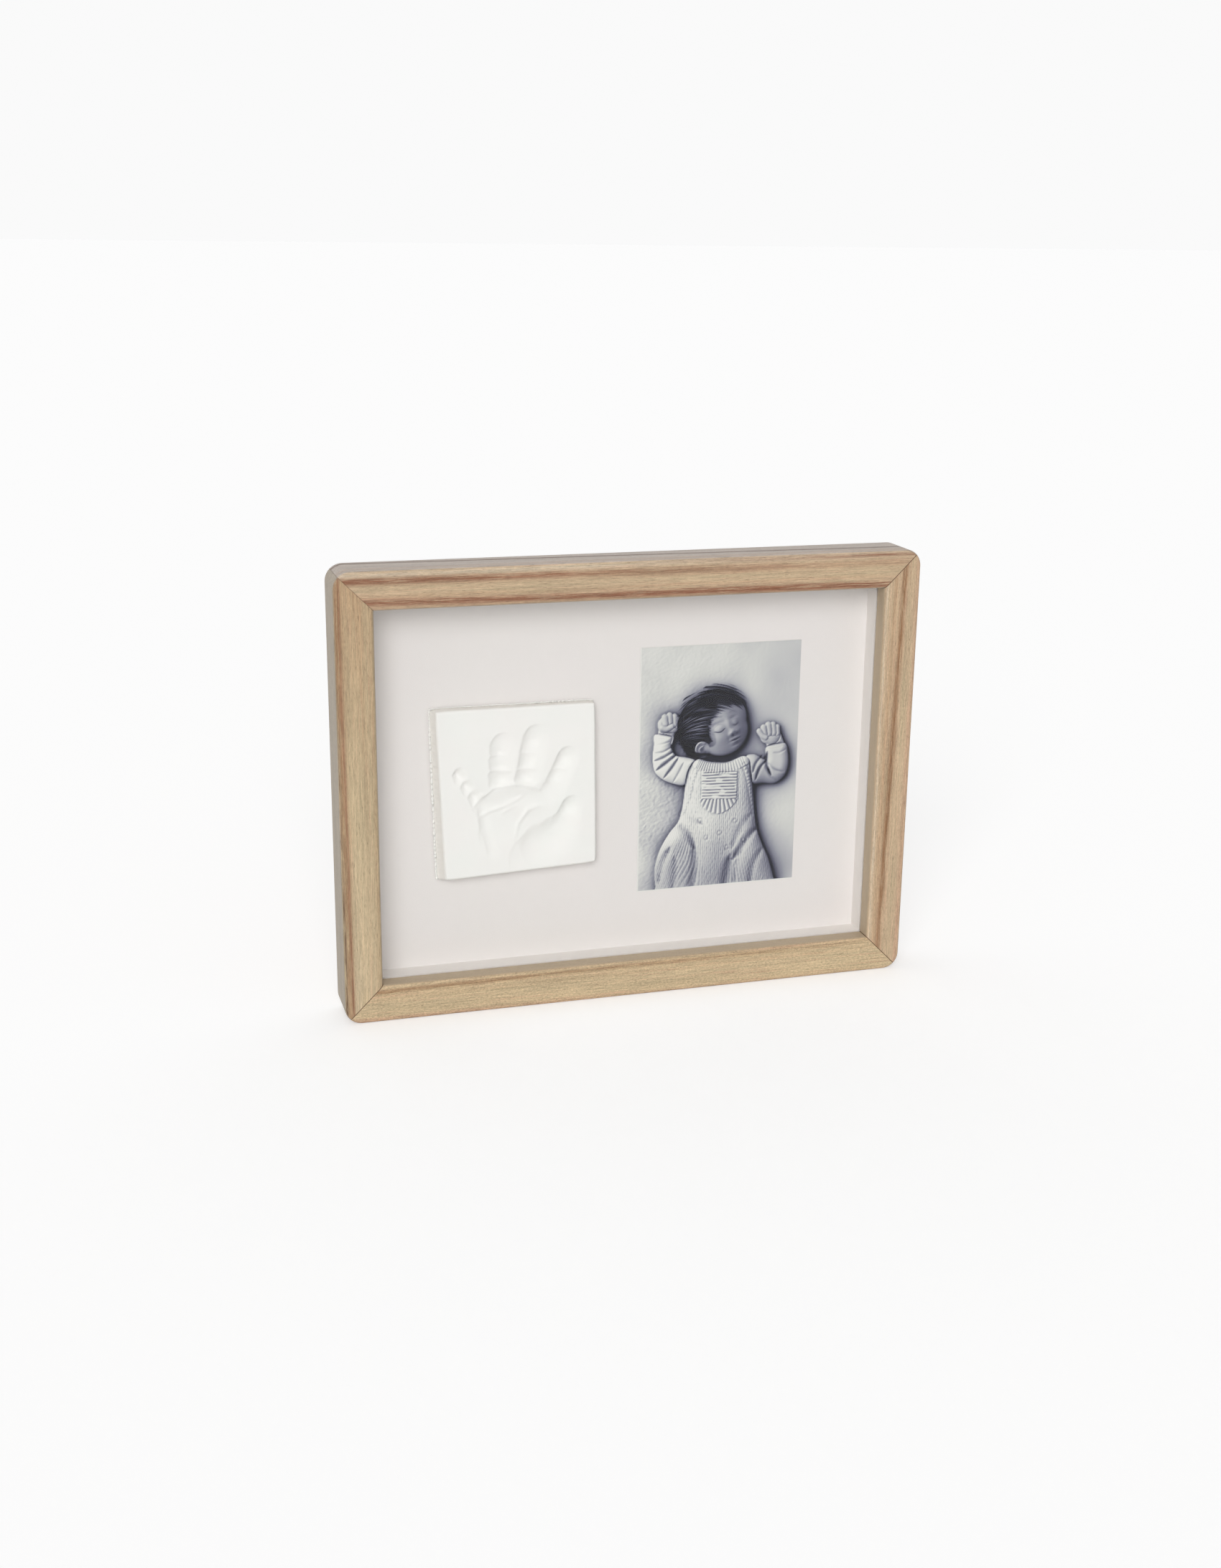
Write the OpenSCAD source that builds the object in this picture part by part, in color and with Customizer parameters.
/* [Frame] */
// Width of the frame over its stiles
frame_w = 350; // [280:1:450]
// Height of the frame over its rails
frame_h = 266; // [225:1:360]
// Depth of the frame from its face to its back
frame_d = 30; // [28:0.5:45]
// Radius of the four outer corners, seen from the front
corner_r = 10; // [6:0.5:14]

/* [Moulding] */
// Width of the moulding's face
rail_w = 22.5; // [20:0.5:34]
// Depth of the front lip, from the face to the rabbet
lip_d = 10.5; // [6:0.5:12]
// Width of the rabbet that the inner layers lie in
rabbet_w = 6; // [4:0.5:7]
// Radius of the round-over along the outer front edge
outer_round = 1.8; // [1:0.1:4]
// Radius of the round-over along the inner front edge
inner_round = 2.4; // [0.5:0.1:4]
// Radius that eases the outer back edge
back_ease = 1.2; // [0.5:0.1:2]

/* [Pane and spacers] */
// Thickness of the clear front pane
pane_t = 2; // [1.5:0.1:3]
// Gap between the pane or a board and the rabbet wall, each side
layer_gap = 0.5; // [0.2:0.1:1]
// Gap between a spacer and the rabbet wall
spacer_gap = 0.3; // [0.1:0.05:0.6]

/* [Boards] */
// Thickness of the mount board
mount_t = 2.5; // [1.5:0.1:3]
// Thickness of the back panel
back_t = 3; // [2:0.1:3]

/* [Clay tile] */
// Thickness of the clay at its flat front
tile_t = 7; // [5:0.5:9]
// Across place of the tile's middle, from the frame's middle
tile_x = -68.5; // [-75:0.5:-62]
// Height of the tile's middle, from the frame's middle
tile_z = -4; // [-8:0.5:8]
// Size of the tile as a share of the one shown
tile_scale = 1; // [0.8:0.01:1.1]
// Radius of the rolled front edge
tile_roll = 1.4; // [0.5:0.1:3]
// Depth of an ordinary press; the fingers leave a little less and the ball of the thumb twice as much
press_depth = 1.45; // [0.8:0.05:2]
// Steps of the clay's surface along each side
tile_steps = 60; // [24:2:64]

/* [Print] */
// Width of the photographic print
print_w = 101.6; // [89:0.1:110]
// Height of the photographic print
print_h = 152.4; // [127:0.1:160]
// Thickness of the print's paper
print_t = 0.3; // [0.2:0.05:0.5]
// Across place of the print's middle, from the frame's middle
print_x = 59.5; // [52:0.5:66]
// Height of the print's middle, from the frame's middle
print_z = 0.5; // [-8:0.5:8]

/* [Adhesive] */
// Side of each foam pad behind the tile
pad_w = 20; // [12:1:24]
// Thickness of the foam pads
pad_t = 1; // [0.6:0.1:1.5]
// Across place of the pads, from the tile's middle
pad_across = 28; // [20:0.5:30]
// Height of the pads, from the tile's middle
pad_up = 30; // [20:0.5:32]
// Side of each thin tab behind the print
tab_w = 12; // [8:1:18]
// Thickness of the thin tabs
tab_t = 0.2; // [0.1:0.05:0.4]
// From the print's edges to the tabs
tab_edge = 4; // [2:0.5:10]

/* [Turn buttons] */
// Length of a turn button over its round ends
button_l = 25; // [22:0.5:28]
// Width of a turn button
button_w = 9; // [8:0.5:11]
// Thickness of a turn button's plate
button_t = 1.2; // [0.8:0.1:1.6]
// From the button's short end to its pivot
button_tail = 6.5; // [5.5:0.1:8]
// Radius of the rib pressed along the button's arm
rib_r = 1.4; // [1:0.1:1.8]
// How far the rib stands above the plate
rib_rise = 0.7; // [0.3:0.1:1]
// Plain plate between the screw's head and the rib
rib_bare = 1.6; // [0.8:0.1:2]
// From the frame's outer edge to each pivot
pivot_in = 9; // [8:0.5:10]
// Across place of the pivots on the rails, from the frame's middle
pivot_x = 98; // [60:1:105]
// Radius of the screw's shank
shank_r = 1.6; // [1.2:0.1:1.8]
// Clearance between the shank and the button's hole, all round
turn_gap = 0.08; // [0.04:0.01:0.1]
// Clearance under and over the button's plate
lift_gap = 0.1; // [0.05:0.05:0.3]
// Radius of the screw's head
head_r = 3; // [2.6:0.1:3.4]
// Height of the screw's head
head_h = 1.6; // [1.2:0.1:2]
// Length of the screw's shank in the wood
screw_l = 10; // [8:0.5:13]
// Radius of the screw's blunt tip
tip_r = 0.3; // [0.2:0.1:0.5]
// Length across the screw's cross recess
recess_l = 3; // [2:0.1:3.6]
// Width of each slot of the cross recess
recess_w = 0.7; // [0.5:0.1:1]

/* [Hanger] */
// Length of the sawtooth hanger
hanger_l = 45; // [40:1:60]
// Height of the sawtooth hanger's plate
hanger_h = 9.5; // [8:0.5:10]
// Thickness of the hanger's plate
hanger_t = 0.8; // [0.6:0.1:1]
// Length of the flat at each end of the hanger
hanger_flat = 8; // [6:0.5:10]
// How far the toothed middle stands off the wood
hanger_rise = 2.1; // [1.6:0.1:3]
// Number of teeth
teeth = 11; // [7:2:13]
// Depth of each tooth
tooth_d = 1.8; // [1:0.1:2.5]
// Radius of the nail's shank
nail_r = 0.8; // [0.6:0.05:1]
// Length of the nail in the wood
nail_l = 9; // [6:0.5:12]
// Height of the nail's flat head
nail_head_h = 0.7; // [0.5:0.1:1]

/* [Corner nails] */
// Length of each leg of a V nail
v_leg = 4.2; // [3:0.1:5]
// Thickness of a V nail's steel
v_t = 0.6; // [0.4:0.1:0.8]
// Length of a V nail along the frame's depth
v_l = 10; // [7:0.5:12]
// How far a V nail is driven below the back
v_sunk = 0.5; // [0.3:0.1:1]
// Wood left between the inner V nail and the rabbet
v_edge = 1; // [0.5:0.1:2]
// Step between the two V nails of a corner, along each outer edge
v_step = 5; // [4.5:0.1:5.5]
// Clearance round a V nail in its slot
v_gap = 0.02; // [0.01:0.01:0.05]

/* [Hidden] */
$fn = 64;

wood = "#b9a07c";
card = "#e0dad4";
steel = "#b4b6b8";
past = 1;

// The hardware that stands off the back sets where the middle of the depth lies
behind = max(2 * lift_gap + button_t + head_h, hanger_rise + hanger_t);
front_y = -(frame_d + behind) / 2;
back_y = front_y + frame_d;
mid_z = frame_h / 2;

// Depths of the layers behind the lip: the spacers take what the other layers leave of the rabbet
spacer_d = frame_d - lip_d - pane_t - mount_t - back_t;
spacer_y = front_y + lip_d + pane_t;
mount_y = spacer_y + spacer_d;
panel_y = mount_y + mount_t;

// The opening in the rabbet and the one inside the lip
bed_w = frame_w - 2 * (rail_w - rabbet_w);
bed_h = frame_h - 2 * (rail_w - rabbet_w);
sight_w = frame_w - 2 * rail_w;
sight_h = frame_h - 2 * rail_w;
spacer_t = rabbet_w - spacer_gap;

// Pivots of the turn buttons: across place, height and the angle that points the long end inward
pivots = [[-pivot_x, frame_h - pivot_in, 180], [pivot_x, frame_h - pivot_in, 180],
    [-pivot_x, pivot_in, 0], [pivot_x, pivot_in, 0],
    [-frame_w / 2 + pivot_in, mid_z, 90], [frame_w / 2 - pivot_in, mid_z, -90]];
hanger_z = frame_h - pivot_in;

// Half of the angle between a V nail's legs
v_half_angle = 32;
// Places of the V nails, in from both outer edges of the corner
v_reach = v_leg * cos(45 - v_half_angle) + v_t;
v_inner = rail_w - rabbet_w - v_edge - v_reach;
v_outer = corner_r * (1 - sqrt(0.5)) + v_edge;
v_places = [max(v_outer, v_inner - v_step), v_inner];

// Cross-section of the moulding: across from the outer edge, and back from the face
module moulding_section() {
    difference() {
        union() {
            translate([outer_round, 0]) square([rail_w - outer_round - inner_round, frame_d]);
            translate([0, outer_round]) square([rail_w / 2, frame_d - outer_round - back_ease]);
            translate([rail_w / 2, inner_round]) square([rail_w / 2, frame_d - inner_round]);
            translate([back_ease, frame_d / 2]) square([rail_w - back_ease, frame_d / 2]);
            translate([outer_round, outer_round]) circle(outer_round);
            translate([rail_w - inner_round, inner_round]) circle(inner_round);
            translate([back_ease, frame_d - back_ease]) circle(back_ease);
        }
        translate([rail_w - rabbet_w, lip_d]) square([rabbet_w + past, frame_d]);
    }
}

// The eighth of a turn that carries the moulding's outer edge round to the mitre
module corner_sector() {
    rotate([0, 180, 0])
        rotate([-90, 0, 0])
            rotate_extrude(angle = 45)
                intersection() {
                    translate([corner_r, 0]) mirror([1, 0]) moulding_section();
                    square([corner_r, frame_d]);
                }
}

// A length of moulding with mitred, rounded ends, lying along Z with its outer edge at X = 0
module moulding(length) {
    intersection() {
        translate([0, 0, corner_r]) linear_extrude(length - 2 * corner_r) moulding_section();
        translate([0, frame_d + past, 0])
            rotate([90, 0, 0])
                linear_extrude(frame_d + 2 * past)
                    polygon([[-past, -past], [-past, length + past],
                        [rail_w + past, length - rail_w - past], [rail_w + past, rail_w + past]]);
    }
    translate([corner_r, 0, length - corner_r]) corner_sector();
    translate([corner_r, 0, corner_r]) mirror([0, 0, 1]) corner_sector();
}

// Turns a piece made as the bottom rail to another side of the frame
module on_side(angle) {
    translate([0, front_y, mid_z]) rotate([0, angle, 0]) children();
}

// Puts a moulding on one side: its length, and the way across to the other side
module side_rail(angle, length, across) {
    color(wood)
        difference() {
            on_side(angle)
                translate([length / 2, 0, -across / 2]) rotate([0, -90, 0]) moulding(length);
            v_nails(v_gap);
            screw_shanks();
            nail_shanks();
        }
}

module top_rail() { side_rail(180, frame_w, frame_h); }
module bottom_rail() { side_rail(0, frame_w, frame_h); }
module left_stile() { side_rail(90, frame_h, frame_w); }
module right_stile() { side_rail(-90, frame_h, frame_w); }

// One V nail, or its slot when grow is more than nothing; its point looks along +X
module v_nail(grow) {
    open = grow > 0 ? v_sunk + past : 0;
    translate([0, 0, -open]) linear_extrude(v_l + open + grow)
        for (side = [-1, 1])
            rotate(180 + side * v_half_angle)
                translate([-grow, -v_t / 2 - grow]) square([v_leg + 2 * grow, v_t + 2 * grow]);
}

// Two V nails in each corner, pressed in from the back across the mitre
module v_nails(grow) {
    for (sx = [-1, 1], sz = [-1, 1], place = v_places)
        translate([sx * (frame_w / 2 - place), back_y - v_sunk, mid_z + sz * (frame_h / 2 - place)])
            rotate([90, 0, 0]) rotate(sx > 0 ? sz * 45 : 180 - sz * 45) v_nail(grow);
}

module corner_v_nails() {
    color(steel) v_nails(0);
}

// A flat layer that lies in the rabbet with a gap all round
module bed_layer(y, thickness) {
    translate([-bed_w / 2 + layer_gap, y, mid_z - bed_h / 2 + layer_gap])
        cube([bed_w - 2 * layer_gap, thickness, bed_h - 2 * layer_gap]);
}

module front_pane() { color("#eef4f4", 0.3) bed_layer(front_y + lip_d, pane_t); }
module mount_board() { color(card) bed_layer(mount_y, mount_t); }
module back_panel() { color("#9c7a55") bed_layer(panel_y, back_t); }

// Spacer strips: the long ones run the whole rabbet, the short ones fit between them
module level_spacer(z) {
    color("white")
        translate([-bed_w / 2 + spacer_gap, spacer_y, z])
            cube([bed_w - 2 * spacer_gap, spacer_d, spacer_t]);
}

module upright_spacer(x) {
    color("white")
        translate([x, spacer_y, mid_z - sight_h / 2]) cube([spacer_t, spacer_d, sight_h]);
}

module spacer_top() { level_spacer(mid_z + sight_h / 2); }
module spacer_bottom() { level_spacer(mid_z - sight_h / 2 - spacer_t); }
module spacer_left() { upright_spacer(-sight_w / 2 - spacer_t); }
module spacer_right() { upright_spacer(sight_w / 2); }

// Corners of the clay tile's front and back, pressed out by hand and so not quite square; its sides
// slope out to the back, most of all on the left
face_corners = [[-42.9, -51.5], [49.1, -47.5], [47.6, 51], [-47.4, 51]];
back_corners = [[-47.9, -52.3], [50, -48.3], [48.4, 52], [-50.9, 52]];
// About half of the tile's width, which turns the grid's steps into millimetres at the rolled edge
tile_half = 48;
// How far each corner is drawn in, as a share of the tile
corner_pull = 0.024;
// How much closer together the grid's lines lie near the edge
bunch = 0.25;

// Where the hand presses: a chain of places for each part of it, with the radius of the dip there
// and its share of the ordinary depth
pinky_tip = [[-35.4, 13.2, 4.6, 0.62], [-34.4, 11.2, 4.6, 0.66]];
pinky_middle = [[-30.8, 6, 4.4, 0.6], [-29.8, 4.6, 4.5, 0.62]];
pinky_root = [[-26.2, -0.4, 4.6, 0.62], [-23, -5, 6.4, 0.6]];
ring_finger = [[-11.2, 29.4, 8.6, 0.78], [-11.4, 22.6, 8.4, 0.84], [-11.5, 14, 8.8, 0.9],
    [-11, 8.8, 9.2, 1]];
middle_finger = [[11.6, 32.8, 9.2, 0.92], [9.2, 25.4, 9, 0.98], [6.4, 15, 8.6, 0.86],
    [4.4, 9.2, 9.2, 1]];
index_finger = [[31.2, 19.6, 7.6, 0.96], [27.6, 14, 7.6, 1], [22.4, 5.2, 8, 0.85], [18, -2, 9, 0.6]];
thumb = [[33.4, -10.6, 7.4, 0.95], [30.6, -15.6, 9.5, 1.1], [24, -19, 13.5, 1.5],
    [15, -21.5, 17, 2], [9, -26, 17, 1.4], [3, -34, 15, 0.3]];
palm_top = [[10, -4, 10.5, 0.7], [-3, -4.4, 11.2, 0.72], [-16.6, -6.4, 11.5, 0.72],
    [-14.6, -20, 14, 0.5], [-10, -33, 14, 0]];
palm_edge = [[-20.5, -8, 6.5, 0.72], [-18.6, -20, 6, 0.6], [-15.6, -32, 5, 0.25]];
palm_middle = [[-8, -12, 14, 0.6], [4, -18, 14, 0.66]];
presses = [pinky_tip, pinky_middle, pinky_root, ring_finger, middle_finger, index_finger, thumb,
    palm_top, palm_edge, palm_middle];
// The hand was rolled off towards its thumb, so the dips' walls are steep on one side and slope
// away on this other side
soft_side = [0.88, -0.47];
lean = 0.46;

// Lines where skin creases leave low ridges in the clay: two ends, and the share of the height there
creases = [[[-25.3, -6.9], [-20.3, -0.4], 0.5, 1], [[-20.3, -0.4], [-14.6, 3.1], 1, 1],
    [[-14.6, 3.1], [-1.7, 4.8], 1, 1], [[-1.7, 4.8], [5.4, 3.9], 1, 1], [[5.4, 3.9], [14, 1], 1, 0.5],
    [[-23.9, -14.7], [-16, -10.8], 0.3, 0.7], [[-16, -10.8], [-6, -8], 0.7, 0.6],
    [[-6, -8], [1.1, -4.7], 0.6, 0.5], [[1.1, -4.7], [6.5, -0.8], 0.5, 0],
    [[-10.3, -14], [-6, -10.8], 0, 0.5], [[-6, -10.8], [5.4, -6.1], 0.5, 0],
    [[-1.5, -30], [1.1, -19.7], 0, 0.6], [[1.1, -19.7], [6.9, -11.4], 0.6, 0.8],
    [[6.9, -11.4], [16, -8.6], 0.8, 0],
    [[-18, 22.9], [-5, 22.6], 0.7, 0.2], [[-18, 13.9], [-4, 13.3], 0.85, 0.4],
    [[1, 23.2], [13, 22.6], 0.3, 0.05], [[-1, 13.8], [11, 13], 0.6, 0.3],
    [[20, 12.2], [30, 11.6], 0.3, 0.3], [[15, 5.6], [26, 3.6], 0.3, 0.2]];
// Height and spread of those ridges, and the depth of press that shows them in full
crease_h = 0.42;
crease_w = 1.7;
crease_from = 0.6;

function mix(a, b, t) = a + (b - a) * t;
function clamp01(t) = min(1, max(0, t));
function ease(t) = t * t * (3 - 2 * t);
function flat_part(m) = [m[0], m[1]];
// How far along a line from a to b the point p lies, from 0 to 1
function along(p, a, b) = clamp01(((p - a) * (b - a)) / max(0.0001, (b - a) * (b - a)));
// The dip that a press leaves at p between two places of its chain, as a share of the depth
function dip(p, m, k) =
    let (a = flat_part(m), b = flat_part(k), t = along(p, a, b), off = p - mix(a, b, t),
        d = norm(off), r = mix(m[2], k[2], t) * (1 + lean * (off * soft_side) / max(d, 0.0001)))
    mix(m[3], k[3], t) * ease(clamp01(1 - d / r));
function chain_dip(p, chain) = max([for (i = [0:len(chain) - 2]) dip(p, chain[i], chain[i + 1])]);
function ridge(p, c) =
    let (t = along(p, c[0], c[1]), d = norm(p - mix(c[0], c[1], t)))
    mix(c[2], c[3], t) * exp(-pow(d / crease_w, 2));
// All presses run into each other softly
function pressed(p) = press_depth * sqrt(norm([for (c = presses) pow(chain_dip(p, c), 2)]));
function hand(p) =
    let (deep = pressed(p))
    deep - crease_h * clamp01(deep / crease_from) * max([for (c = creases) ridge(p, c)]);

// A point of a grid between four corners, which are drawn in to round them
function grid_point(c, s, t) =
    let (pull = 1 - corner_pull * pow(s * t, 16), low = mix(c[0], c[1], (s * pull + 1) / 2),
        high = mix(c[3], c[2], (s * pull + 1) / 2))
    mix(low, high, (t * pull + 1) / 2);
// Steps that lie closer together near the rolled edge
function spread(i) = let (u = 2 * i / tile_steps - 1) (1 + bunch) * u - bunch * pow(u, 3);
// How far the rolled edge has dropped at a place s across the grid
function roll(s) =
    let (d = min(tile_roll, (1 - abs(s)) * tile_half))
    tile_roll - sqrt(max(0, d * (2 * tile_roll - d)));
function tile_height(s, t) =
    tile_t - min(tile_roll, roll(s) + roll(t)) - hand(grid_point(face_corners, s, t));

// The pressed tile: a grid over its front, walls round its rim and one flat back
module clay_tile() {
    n = tile_steps;
    row = n + 1;
    front = [for (j = [0:n], i = [0:n])
        let (s = spread(i), t = spread(j), p = tile_scale * grid_point(face_corners, s, t))
        [p[0], -tile_height(s, t), p[1]]];
    round_rim = concat([for (i = [0:n - 1]) [i, 0]], [for (j = [0:n - 1]) [n, j]],
        [for (i = [0:n - 1]) [n - i, n]], [for (j = [0:n - 1]) [0, n - j]]);
    rim = [for (q = round_rim) q[1] * row + q[0]];
    count = len(rim);
    back = [for (q = round_rim)
        let (p = tile_scale * grid_point(back_corners, spread(q[0]), spread(q[1])))
        [p[0], 0, p[1]]];
    first = len(front);
    faces = concat(
        [for (j = [0:n - 1], i = [0:n - 1]) let (k = j * row + i) [k, k + row, k + 1]],
        [for (j = [0:n - 1], i = [0:n - 1]) let (k = j * row + i) [k + 1, k + row, k + row + 1]],
        [for (k = [0:count - 1]) [rim[k], rim[(k + 1) % count], first + k]],
        [for (k = [0:count - 1]) [rim[(k + 1) % count], first + (k + 1) % count, first + k]],
        [[for (k = [0:count - 1]) first + k]]);
    color("#eeefeb")
        translate([tile_x, mount_y - pad_t, mid_z + tile_z])
            polyhedron(concat(front, back), faces);
}

// Four square foam pads hold the tile on the mount board
module tile_pads() {
    color("white")
        for (sx = [-1, 1], sz = [-1, 1])
            translate([tile_x + sx * pad_across * tile_scale, mount_y - pad_t / 2,
                    mid_z + tile_z + sz * pad_up * tile_scale])
                cube([pad_w, pad_t, pad_w], center = true);
}

// The paper print, held just off the mount board by thin tabs
module photo_print() {
    color("#d4d6d2")
        translate([print_x - print_w / 2, mount_y - tab_t - print_t, mid_z + print_z - print_h / 2])
            cube([print_w, print_t, print_h]);
}

module print_tabs() {
    inset = tab_w / 2 + tab_edge;
    color("white")
        for (sx = [-1, 1], sz = [-1, 1])
            translate([print_x + sx * (print_w / 2 - inset), mount_y - tab_t / 2,
                    mid_z + print_z + sz * (print_h / 2 - inset)])
                cube([tab_w, tab_t, tab_w], center = true);
}

// Puts a piece of the back's hardware at one pivot, its Z out of the back and its X to the long end
module at_pivot(p) {
    translate([p[0], back_y, p[1]]) rotate([0, -90 + p[2], 0]) rotate([-90, 0, 0]) children();
}

// A stamped turn button: round ends, a pressed rib along the arm and a hole for its screw
module turn_button(k) {
    end_r = button_w / 2;
    reach = button_l - button_tail - end_r;
    tail = button_tail - end_r;
    rib_from = head_r + rib_bare + rib_r;
    color(steel)
        at_pivot(pivots[k])
            translate([0, 0, lift_gap])
                difference() {
                    union() {
                        linear_extrude(button_t) {
                            translate([-tail, 0]) circle(end_r);
                            translate([reach, 0]) circle(end_r);
                            translate([-tail, -end_r]) square([reach + tail, button_w]);
                        }
                        intersection() {
                            translate([0, 0, button_t + rib_rise - rib_r]) {
                                translate([rib_from, 0, 0]) sphere(rib_r);
                                translate([reach, 0, 0]) sphere(rib_r);
                                translate([rib_from, 0, 0])
                                    rotate([0, 90, 0]) cylinder(r = rib_r, h = reach - rib_from);
                            }
                            translate([0, -button_w, 0]) cube([button_l, 2 * button_w, button_t + rib_r]);
                        }
                    }
                    translate([0, 0, -past]) cylinder(r = shank_r + turn_gap, h = button_t + 2 * past);
                }
}

// The shanks alone, which also drill the rails
module screw_shanks() {
    for (p = pivots)
        at_pivot(p) {
            translate([0, 0, shank_r - screw_l]) cylinder(r = shank_r, h = screw_l - shank_r + past);
            translate([0, 0, -screw_l]) cylinder(r1 = tip_r, r2 = shank_r, h = shank_r);
        }
}

// Pan-head screws that the turn buttons turn on
module button_screws() {
    head_z = 2 * lift_gap + button_t;
    dome_r = (head_r * head_r + head_h * head_h) / (2 * head_h);
    color("#c9c4b4")
        for (p = pivots)
            at_pivot(p)
                difference() {
                    union() {
                        translate([0, 0, shank_r - screw_l])
                            cylinder(r = shank_r, h = screw_l - shank_r + head_z + head_h / 4);
                        translate([0, 0, -screw_l]) cylinder(r1 = tip_r, r2 = shank_r, h = shank_r);
                        intersection() {
                            translate([0, 0, head_z + head_h - dome_r]) sphere(dome_r);
                            translate([0, 0, head_z]) cylinder(r = head_r, h = head_h);
                        }
                    }
                    for (turn = [0, 90])
                        rotate(turn)
                            translate([-recess_l / 2, -recess_w / 2, head_z + head_h / 2])
                                cube([recess_l, recess_w, head_h]);
                }
}

// A sawtooth hanger: flat ends on the wood and a raised middle with teeth along its lower edge
module sawtooth_hanger() {
    flat = hanger_flat;
    ramp = 3;
    set = 0.3;
    run = hanger_l - 2 * flat - 2 * ramp;
    pitch = run / (teeth + 1);
    half = hanger_l / 2;
    color(steel)
        translate([0, back_y, hanger_z])
            difference() {
                translate([0, 0, -hanger_h / 2])
                    linear_extrude(hanger_h)
                        polygon([[-half, 0], [-half + flat, 0], [-half + flat + ramp, hanger_rise],
                            [half - flat - ramp, hanger_rise], [half - flat, 0], [half, 0],
                            [half, hanger_t],
                            [half - flat + set, hanger_t], [half - flat - ramp + set, hanger_rise + hanger_t],
                            [-half + flat + ramp - set, hanger_rise + hanger_t],
                            [-half + flat - set, hanger_t], [-half, hanger_t]]);
                for (k = [-(teeth - 1) / 2:(teeth - 1) / 2])
                    translate([k * pitch, hanger_rise + hanger_t + past, -hanger_h / 2])
                        rotate([90, 0, 0])
                            linear_extrude(hanger_t + 2 * past)
                                polygon([[-pitch / 2, -past], [0, tooth_d], [pitch / 2, -past]]);
                for (side = [-1, 1])
                    translate([side * (half - flat / 2), -past, 0])
                        rotate([-90, 0, 0]) cylinder(r = nail_r, h = hanger_t + 2 * past);
            }
}

// The nail shanks alone, which also pierce the top rail
module nail_shanks() {
    for (side = [-1, 1])
        translate([side * (hanger_l / 2 - hanger_flat / 2), back_y - nail_l, hanger_z])
            rotate([-90, 0, 0]) cylinder(r = nail_r, h = nail_l + past / 2);
}

// Two small nails with flat heads hold the hanger
module hanger_nails() {
    color(steel)
        for (side = [-1, 1])
            translate([side * (hanger_l / 2 - hanger_flat / 2), back_y, hanger_z])
                rotate([-90, 0, 0]) {
                    translate([0, 0, -nail_l]) cylinder(r = nail_r, h = nail_l + hanger_t);
                    translate([0, 0, hanger_t]) cylinder(r = 2 * nail_r, h = nail_head_h);
                }
}

top_rail();
bottom_rail();
left_stile();
right_stile();
corner_v_nails();
front_pane();
spacer_top();
spacer_bottom();
spacer_left();
spacer_right();
mount_board();
clay_tile();
tile_pads();
photo_print();
print_tabs();
back_panel();
turn_button(0);  // turn_button_1
turn_button(1);  // turn_button_2
turn_button(2);  // turn_button_3
turn_button(3);  // turn_button_4
turn_button(4);  // turn_button_5
turn_button(5);  // turn_button_6
button_screws();
sawtooth_hanger();
hanger_nails();
